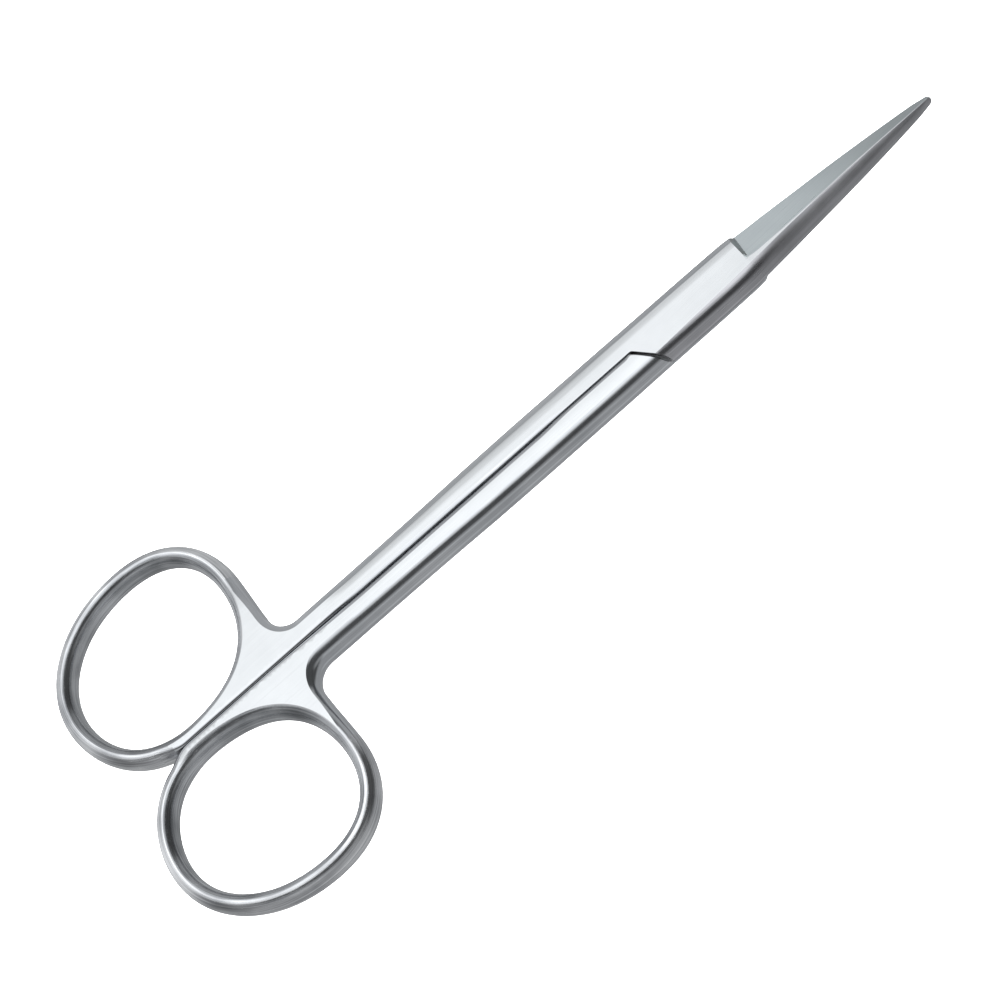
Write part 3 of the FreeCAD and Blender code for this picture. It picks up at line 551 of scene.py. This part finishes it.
def loft(st):
    xs = np.concatenate([np.linspace(X_LOFT, -12.5, 60), np.linspace(-12.5, -9.5, 16)[1:],
                         np.linspace(-9.5, -2.2, 22)[1:], np.linspace(-2.2, 2.7, 90)[1:],
                         np.linspace(2.7, 13, 36)[1:], np.linspace(13, RAMP0, 16)[1:],
                         np.linspace(RAMP0, RAMP1, 21)[1:],
                         np.linspace(RAMP1, 39, 80)[1:], np.linspace(39, TIP - 0.45, 14)[1:],
                         TIP - 0.45 + 0.45 * np.sin(np.linspace(0, math.pi / 2, 14))[1:]])
    rows, mats = [], None
    uv = []
    for x in xs:
        p, m, v = section(float(x))
        rows.append(np.stack([np.full(len(p), x), p[:, 0], p[:, 1]], -1))
        uv.append(np.stack([np.full(len(p), x), v], -1))
        if mats is None:
            mats = m
    p, uv = np.stack(rows), np.stack(uv)
    cols = p.shape[1]
    # material by stretch and by place along the length
    base = st.points(p)
    nx = len(xs)
    bl = {}
    for i in range(nx - 1):
        if i not in bl:
            bl[i] = section(float(0.5 * (xs[i] + xs[i + 1])))[1]
        for k in range(cols - 1):
            st.f.append((base + i * cols + k, base + (i + 1) * cols + k,
                         base + (i + 1) * cols + k + 1, base + i * cols + k + 1))
            st.uv.append((uv[i, k], uv[i + 1, k], uv[i + 1, k + 1], uv[i, k + 1]))
            st.m.append(bl[i][k])
    # the section is a closed loop
    for i in range(nx - 1):
        st.f.append((base + i * cols + cols - 1, base + (i + 1) * cols + cols - 1,
                     base + (i + 1) * cols, base + i * cols))
        st.uv.append((uv[i, -1], uv[i + 1, -1], uv[i + 1, 0], uv[i, 0]))
        st.m.append(1)


# ------------------------------------------------------------------ materials
def nodes_of(mat):
    mat.use_nodes = True
    nt = mat.node_tree
    nt.nodes.clear()
    return nt, nt.nodes, nt.links


def value_noise(nt, vec, scale, loc=(0, 0, 0), detail=3.0, rough=0.55):
    """Noise read through a stretch of the surface coordinate."""
    mp = nt.nodes.new("ShaderNodeMapping")
    mp.inputs["Scale"].default_value = scale
    mp.inputs["Location"].default_value = loc
    nt.links.new(vec, mp.inputs["Vector"])
    nz = nt.nodes.new("ShaderNodeTexNoise")
    nz.inputs["Scale"].default_value = 1.0
    nz.inputs["Detail"].default_value = detail
    nz.inputs["Roughness"].default_value = rough
    nt.links.new(mp.outputs["Vector"], nz.inputs["Vector"])
    return nz.outputs["Fac"]


def math_node(nt, op, a, b=None, clamp=False):
    n = nt.nodes.new("ShaderNodeMath")
    n.operation = op
    n.use_clamp = clamp
    for i, v in enumerate((a, b)):
        if v is None:
            continue
        if isinstance(v, (int, float)):
            n.inputs[i].default_value = v
        else:
            nt.links.new(v, n.inputs[i])
    return n.outputs[0]


def map_range(nt, v, a, b, c, d, kind="SMOOTHSTEP"):
    m = nt.nodes.new("ShaderNodeMapRange")
    m.interpolation_type = kind
    m.inputs["From Min"].default_value = a
    m.inputs["From Max"].default_value = b
    m.inputs["To Min"].default_value = c
    m.inputs["To Max"].default_value = d
    nt.links.new(v, m.inputs["Value"])
    return m.outputs["Result"]


def ramp(nt, fac, stops):
    r = nt.nodes.new("ShaderNodeValToRGB")
    e = r.color_ramp.elements
    while len(e) < len(stops):
        e.new(0.5)
    for i, (pos, col) in enumerate(stops):
        e[i].position = pos
        e[i].color = (*col, 1.0) if len(col) == 3 else col
    nt.links.new(fac, r.inputs["Fac"])
    return r.outputs["Color"]


def steel(name, tone, rough, grain, seed=0.0, streak=(0.05, 7.0), mottle=0.35, scratch=1.0, stretch_x=None, sharp=0.2):
    """Satin stainless steel. tone: two linear colours; grain: bump of the polishing lines.
    stretch_x: (x0, x1, factor, rougher), in metres along X: from x0 to x1 the colour is scaled from 1 to factor and the
    roughness raised by up to rougher, and stays so beyond; without the grain coordinate (streak None) every pattern
    lies in the object's own space."""
    mat = bpy.data.materials.new(name)
    nt, nd, lk = nodes_of(mat)
    out = nd.new("ShaderNodeOutputMaterial")
    bs = nd.new("ShaderNodeBsdfPrincipled")
    lk.new(bs.outputs["BSDF"], out.inputs["Surface"])
    bs.inputs["Metallic"].default_value = 1.0
    uvn = nd.new("ShaderNodeUVMap")
    uvn.uv_map = "grain"
    tc = nd.new("ShaderNodeTexCoord")
    uv, obj = uvn.outputs["UV"], tc.outputs["Object"]
    if streak is None:
        big = nd.new("ShaderNodeMapping")
        big.inputs["Scale"].default_value = (1000.0, 1000.0, 1000.0)
        lk.new(obj, big.inputs["Vector"])
        uv, streak = big.outputs["Vector"], (2.0, 2.5)
        nd.remove(uvn)
    long_ = value_noise(nt, uv, (streak[0], streak[1], 1), (seed, seed * 1.7, 0), 5.0, 0.62)
    fine = value_noise(nt, uv, (streak[0] * 5, streak[1] * 7, 1), (seed + 3, 0.4, 0), 3.0, 0.6)
    blot = value_noise(nt, obj, (900.0, 900.0, 900.0), (seed, 5.0, 1.0), 4.0, 0.6)
    wide = value_noise(nt, obj, (190.0, 190.0, 190.0), (seed, 2.0, 7.0), 2.0, 0.5)
    # colour: polishing streaks over soft blotches
    mix = math_node(nt, "MULTIPLY", long_, 0.55)
    mix = math_node(nt, "ADD", mix, math_node(nt, "MULTIPLY", wide, 0.45))
    col = ramp(nt, mix, [(0.5 - sharp, tone[0]), (0.5 + sharp, tone[1])])
    if stretch_x:
        sx = nd.new("ShaderNodeSeparateXYZ")
        lk.new(obj, sx.inputs["Vector"])
        sc_ = nd.new("ShaderNodeVectorMath")
        sc_.operation = "SCALE"
        lk.new(col, sc_.inputs[0])
        lk.new(map_range(nt, sx.outputs["X"], stretch_x[0], stretch_x[1], 1.0, stretch_x[2]), sc_.inputs["Scale"])
        col = sc_.outputs["Vector"]
    lk.new(col, bs.inputs["Base Color"])
    # roughness: blotches, fine lines and a few scratches
    scr = value_noise(nt, uv, (0.35, 22.0, 1), (seed + 11, 3.1, 0), 2.0, 0.5)
    scr = math_node(nt, "MULTIPLY", math_node(nt, "SUBTRACT", scr, 0.66, True), 1.2 * scratch)
    ro = math_node(nt, "MULTIPLY", math_node(nt, "SUBTRACT", blot, 0.5), mottle * rough)
    ro = math_node(nt, "ADD", ro, math_node(nt, "MULTIPLY", math_node(nt, "SUBTRACT", long_, 0.5), 0.7 * rough))
    ro = math_node(nt, "ADD", ro, rough)
    ro = math_node(nt, "ADD", ro, scr)
    if stretch_x:
        ro = math_node(nt, "ADD", ro, map_range(nt, sx.outputs["X"], stretch_x[0], stretch_x[1], 0.0, stretch_x[3]))
    ro = math_node(nt, "MAXIMUM", ro, 0.04)
    lk.new(ro, bs.inputs["Roughness"])
    # relief
    hgt = math_node(nt, "MULTIPLY", long_, 1.0)
    hgt = math_node(nt, "ADD", hgt, math_node(nt, "MULTIPLY", fine, 0.35))
    hgt = math_node(nt, "ADD", hgt, math_node(nt, "MULTIPLY", blot, 0.12))
    hgt = math_node(nt, "SUBTRACT", hgt, math_node(nt, "MULTIPLY", scr, 1.5))
    bp = nd.new("ShaderNodeBump")
    bp.inputs["Strength"].default_value = 1.0
    bp.inputs["Distance"].default_value = grain
    lk.new(hgt, bp.inputs["Height"])
    lk.new(bp.outputs["Normal"], bs.inputs["Normal"])
    return mat


# flats, rounded sides, inner faces, ground facet, honed edge, ring holes (painted shade: a darker copy of the free
# rings' steel), free rings, spine, shoulder (painted shade: a darker copy of the inner faces' steel)
steel_flat = steel("steel_flat", ((0.600, 0.616, 0.630), (0.680, 0.695, 0.710)), 0.16, 2.0e-6, 0.0, (0.05, 6.0), 0.5)
steel_side = steel("steel_side", ((0.50, 0.52, 0.545), (0.74, 0.755, 0.78)), 0.16, 4.0e-6, 4.0, (0.04, 4.0), 0.6)
steel_inner = steel("steel_inner", ((0.50, 0.505, 0.515), (0.62, 0.625, 0.635)), 0.34, 4.0e-6, 8.0, (0.3, 9.0), 0.4)
# the ground facet: its colour is scaled down along the blade, darker towards the tip
steel_facet = steel("steel_facet", ((0.77, 0.84, 0.87), (0.91, 0.98, 1.0)), 0.33, 3.0e-6, 12.0, (0.03, 7.0), 0.3,
                    stretch_x=(0.036, 0.055, 0.62, 0.0))
steel_edge = steel("steel_edge", ((0.52, 0.535, 0.55), (0.66, 0.67, 0.685)), 0.14, 1.5e-6, 16.0, (0.03, 16.0), 0.3)
# the finger holes' inner side: the free rings' steel made darker, painted shade inside the hole
steel_hole_painted_shade = steel("steel_hole_painted_shade", ((0.27, 0.28, 0.295), (0.66, 0.675, 0.70)), 0.20, 1.4e-5, 25.0, (0.09, 5.0), 0.9, 1.4, sharp=0.12)
steel_ring = steel("steel_ring", ((0.38, 0.39, 0.41), (0.90, 0.91, 0.93)), 0.16, 1.6e-5, 31.0, (0.06, 5.0), 0.9, 1.4, sharp=0.12)
steel_spine = steel("steel_spine", ((0.41, 0.41, 0.43), (0.63, 0.63, 0.66)), 0.19, 6.0e-6, 37.0, (0.04, 3.5), 0.6, sharp=0.15,
                    stretch_x=(0.029, 0.037, 1.04, 0.26))
# the shoulder's wall: the inner faces' steel made much darker, painted shade where the ground facet drops away from the
# flat
steel_shoulder_painted_shade = steel("steel_shoulder_painted_shade", ((0.24, 0.26, 0.265), (0.42, 0.45, 0.455)), 0.34, 4.0e-6, 43.0, (0.4, 6.0), 0.5)
MATS = [steel_flat, steel_side, steel_inner, steel_facet, steel_edge, steel_hole_painted_shade, steel_ring, steel_spine, steel_shoulder_painted_shade]


# ------------------------------------------------------------------ the two halves
def turned(profile, n=96):
    """A closed solid of revolution about the joint's axis, for cutting the screw's hole."""
    bm = bmesh.new()
    rows = []
    for r, z in profile:
        if r < 1e-9:
            rows.append([bm.verts.new((PIVOT, 0, z))])
        else:
            rows.append([bm.verts.new((PIVOT + r * math.cos(2 * math.pi * k / n), r * math.sin(2 * math.pi * k / n), z))
                         for k in range(n)])
    for a, b in zip(rows, rows[1:]):
        for k in range(n):
            j = (k + 1) % n
            if len(a) == 1:
                bm.faces.new((a[0], b[j], b[k]))
            elif len(b) == 1:
                bm.faces.new((a[k], a[j], b[0]))
            else:
                bm.faces.new((a[k], a[j], b[j], b[k]))
    bmesh.ops.recalc_face_normals(bm, faces=bm.faces)
    me = bpy.data.meshes.new("cutter")
    bm.to_mesh(me)
    bm.free()
    me.uv_layers.new(name="grain")
    for m in MATS:
        me.materials.append(m)
    for p in me.polygons:
        p.material_index = 2
        p.use_smooth = True
    ob = bpy.data.objects.new("cutter", me)
    bpy.context.scene.collection.objects.link(ob)
    return ob


def half_mesh():
    st = Store()
    handle(st)
    loft(st)
    me = bpy.data.meshes.new("half")
    me.from_pydata([tuple(p) for p in np.vstack(st.v)], [], st.f)
    uvl = me.uv_layers.new(name="grain")
    flat_uv = np.array([c for f in st.uv for c in f], float)
    uvl.data.foreach_set("uv", flat_uv.ravel())
    for m in MATS:
        me.materials.append(m)
    me.polygons.foreach_set("material_index", st.m)
    bm = bmesh.new()
    bm.from_mesh(me)
    bmesh.ops.remove_doubles(bm, verts=bm.verts, dist=2e-4)
    bmesh.ops.dissolve_degenerate(bm, edges=bm.edges, dist=1e-4)
    loose = [e for e in bm.edges if not e.link_faces]
    bmesh.ops.delete(bm, geom=loose, context="EDGES")
    bmesh.ops.recalc_face_normals(bm, faces=bm.faces)
    open_ = [e for e in bm.edges if len(e.link_faces) == 1]
    odd = [e for e in bm.edges if len(e.link_faces) > 2]
    print("half: faces", len(bm.faces), "open edges", len(open_), "odd edges", len(odd))
    for e in open_[:12]:
        print("  open", [tuple(round(c, 3) for c in v.co) for v in e.verts])
    for e in odd[:12]:
        print("  odd", [tuple(round(c, 3) for c in v.co) for v in e.verts])
    bm.to_mesh(me)
    bm.free()
    return me


def bored(me, profile):
    ob = bpy.data.objects.new("work", me)
    bpy.context.scene.collection.objects.link(ob)
    cut = turned(profile)
    md = ob.modifiers.new("bore", "BOOLEAN")
    md.object = cut
    md.operation = "DIFFERENCE"
    md.solver = "EXACT"
    dg = bpy.context.evaluated_depsgraph_get()
    new = bpy.data.meshes.new_from_object(ob.evaluated_get(dg))
    bpy.data.objects.remove(ob)
    bpy.data.objects.remove(cut)
    return new


def finish_half(me, name, body, node, turn):
    bm = bmesh.new()
    bm.from_mesh(me)
    for e in bm.edges:
        if len(e.link_faces) == 2:
            lim = 12.0 if max(v.co.x for v in e.verts) < TIP - 0.5 else 34.0
            ms = sorted(f.material_index for f in e.link_faces)
            ridge = ms[0] in (0, 3, 8) and ms[1] in (7, 8) and ms[0] != ms[1]
            e.smooth = e.calc_face_angle(0.0) < math.radians(lim) and not ridge
    for f in bm.faces:
        f.smooth = True
    s = -1.0 if turn else 1.0
    for v in bm.verts:
        v.co = ((v.co.x + SHIFT_X) / 1000, s * v.co.y / 1000, (s * v.co.z + ZT) / 1000)
    bm.to_mesh(me)
    bm.free()
    me.name = name
    ob = bpy.data.objects.new(name, me)
    bpy.context.scene.collection.objects.link(ob)
    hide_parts(node)
    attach(ob, body)
    print(name, "faces", len(me.polygons))
    return ob


base_mesh = half_mesh()
zb = ZT - 0.05 - 0.10 - (1.65 - 1.10) + 0.03 * (1 - math.sqrt(2))
upper_me = bored(base_mesh.copy(), [(0, -0.5), (0.90, -0.5), (0.90, 1.47), (0, 1.72)])
lower_me = bored(base_mesh.copy(), [(0, -0.5), (1.13, -0.5), (1.13, zb), (1.70, zb + 0.57), (1.70, 2.4), (0, 2.4)])
upper = finish_half(upper_me, "upper_half_forging", "upper", "upper_half", False)
lower = finish_half(lower_me, "lower_half_forging", "lower", "lower_half", True)

# ------------------------------------------------------------------ joint screw
screw_mat = steel("steel_screw", ((0.50, 0.50, 0.505), (0.63, 0.63, 0.635)), 0.22, 3.0e-6, 21.0, None, 0.5)
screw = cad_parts["pivot_screw"]
if screw.data.materials:
    for i in range(len(screw.material_slots)):
        screw.material_slots[i].material = screw_mat
else:
    screw.data.materials.append(screw_mat)

# ------------------------------------------------------------------ studio
sc = bpy.context.scene
sc.view_settings.view_transform = "Standard"
sc.view_settings.look = "None"
sc.view_settings.exposure = 0.0
sc.view_settings.gamma = 1.0

floor_me = bpy.data.meshes.new("floor")
floor_me.from_pydata([(-3, -3, -3e-5), (3, -3, -3e-5), (3, 3, -3e-5), (-3, 3, -3e-5)], [], [(0, 1, 2, 3)])
floor = bpy.data.objects.new("floor", floor_me)
sc.collection.objects.link(floor)
fm = bpy.data.materials.new("floor_pale")
nt, nd, lk = nodes_of(fm)
out = nd.new("ShaderNodeOutputMaterial")
bs = nd.new("ShaderNodeBsdfPrincipled")
bs.inputs["Roughness"].default_value = 0.9
bs.inputs["Specular IOR Level"].default_value = 0.0
tc = nd.new("ShaderNodeTexCoord")
nz = value_noise(nt, tc.outputs["Object"], (6, 6, 6), (0, 0, 0), 2.0, 0.5)
lk.new(ramp(nt, nz, [(0.3, (0.93, 0.93, 0.93)), (0.7, (0.95, 0.95, 0.95))]), bs.inputs["Base Color"])
geo = nd.new("ShaderNodeNewGeometry")
clear = nd.new("ShaderNodeBsdfTransparent")
both = nd.new("ShaderNodeMixShader")
lk.new(geo.outputs["Backfacing"], both.inputs["Fac"])
lk.new(bs.outputs["BSDF"], both.inputs[1])
lk.new(clear.outputs["BSDF"], both.inputs[2])
lk.new(both.outputs["Shader"], out.inputs["Surface"])
floor_me.materials.append(fm)
floor.visible_glossy = False


world = bpy.data.worlds.new("studio")
sc.world = world
world.use_nodes = True
nt = world.node_tree
nt.nodes.clear()
out = nt.nodes.new("ShaderNodeOutputWorld")
bg = nt.nodes.new("ShaderNodeBackground")
nt.links.new(bg.outputs["Background"], out.inputs["Surface"])
tc = nt.nodes.new("ShaderNodeTexCoord")
sep = nt.nodes.new("ShaderNodeSeparateXYZ")
nt.links.new(tc.outputs["Generated"], sep.inputs["Vector"])
dx, dy, dz = sep.outputs

def dot_with(v):
    n = nt.nodes.new("ShaderNodeVectorMath")
    n.operation = "DOT_PRODUCT"
    nt.links.new(tc.outputs["Generated"], n.inputs[0])
    n.inputs[1].default_value = Vector(v).normalized()
    return n.outputs["Value"]


def mul(a, b):
    return math_node(nt, "MULTIPLY", a, b)


def add(*parts):
    t = parts[0]
    for q in parts[1:]:
        t = math_node(nt, "ADD", t, q)
    return t


# a large soft light overhead, a little behind the object and to the left
key = map_range(nt, dot_with((-0.17, 0.21, 0.963)), 0.74, 0.885, 0.0, 0.86)
core = map_range(nt, dot_with((-0.10, 0.207, 0.973)), 0.895, 0.956, 0.0, 0.55)
# the bright room behind and to the left, down past the horizon
room = map_range(nt, dot_with((-0.77, 0.64, 0.0)), 0.60, 0.98, 0.0, 0.44)
# dark upper part of the near side and the right, light again towards the table and behind
side = add(dz, mul(dx, 0.5))
far = map_range(nt, dot_with((0.35, 0.93, 0.0)), 0.46, 0.78, 0.0, 0.50)
dim = map_range(nt, dx, -0.72, -0.98, 1.0, 0.55)
low = math_node(nt, "MAXIMUM", mul(dim, map_range(nt, side, 0.20, 0.46, 0.41, 0.085)), far)
# a thin reflector low on the near side, and the table's edge below it
near = map_range(nt, dy, -0.45, -0.85, 0.0, 1.0)
strip = mul(near, mul(map_range(nt, dz, 0.20, 0.30, 0.0, 0.24), map_range(nt, dz, 0.62, 0.47, 0.0, 1.0)))
table = mul(near, mul(map_range(nt, dz, -0.45, -0.58, 0.0, 0.14), map_range(nt, dz, -0.85, -0.68, 0.0, 1.0)))
total = add(key, core, room, low, strip, table)
rgb = nt.nodes.new("ShaderNodeCombineColor")
nt.links.new(math_node(nt, "MULTIPLY", total, 0.985), rgb.inputs[0])
nt.links.new(math_node(nt, "MULTIPLY", total, 1.0), rgb.inputs[1])
nt.links.new(math_node(nt, "MULTIPLY", total, 1.01), rgb.inputs[2])
nt.links.new(rgb.outputs["Color"], bg.inputs["Color"])
bg.inputs["Strength"].default_value = 1.0


def area(name, loc, size, power, glossy):
    ld = bpy.data.lights.new(name, "AREA")
    ld.shape = "DISK"
    ld.size = size
    ld.energy = power
    ob = bpy.data.objects.new(name, ld)
    ob.location = loc
    ob.rotation_euler = (Vector(loc) * -1).to_track_quat("-Z", "Y").to_euler()
    ob.visible_glossy = glossy
    ld.use_shadow = False
    sc.collection.objects.link(ob)
    return ob


area("soft_overhead", (0.0, 0.3, 2.2), 3.0, 190.0, False)

# ------------------------------------------------------------------ camera
cam_d = bpy.data.cameras.new("camera")
cam = bpy.data.objects.new("camera", cam_d)
sc.collection.objects.link(cam)
sc.camera = cam
right = Vector((0.7496974809, -0.5617330975, -0.3498708537))
up = Vector((0.6611230308, 0.6592900889, 0.3581241642))
fwd = Vector((-0.0294961902, 0.4997924628, -0.8656428067))
m = Matrix((right, up, -fwd)).transposed().to_4x4()
m.translation = Vector(((-10.92081818 + SHIFT_X) / 1000, -0.17786620764, (304.32527708 + ZT) / 1000)) + (up - right) * 5.34e-5
cam.matrix_world = m
cam_d.sensor_width = 36.0
cam_d.sensor_fit = "HORIZONTAL"
cam_d.lens = 36.0 * 3.295804
cam_d.clip_start = 0.01
cam_d.clip_end = 20.0
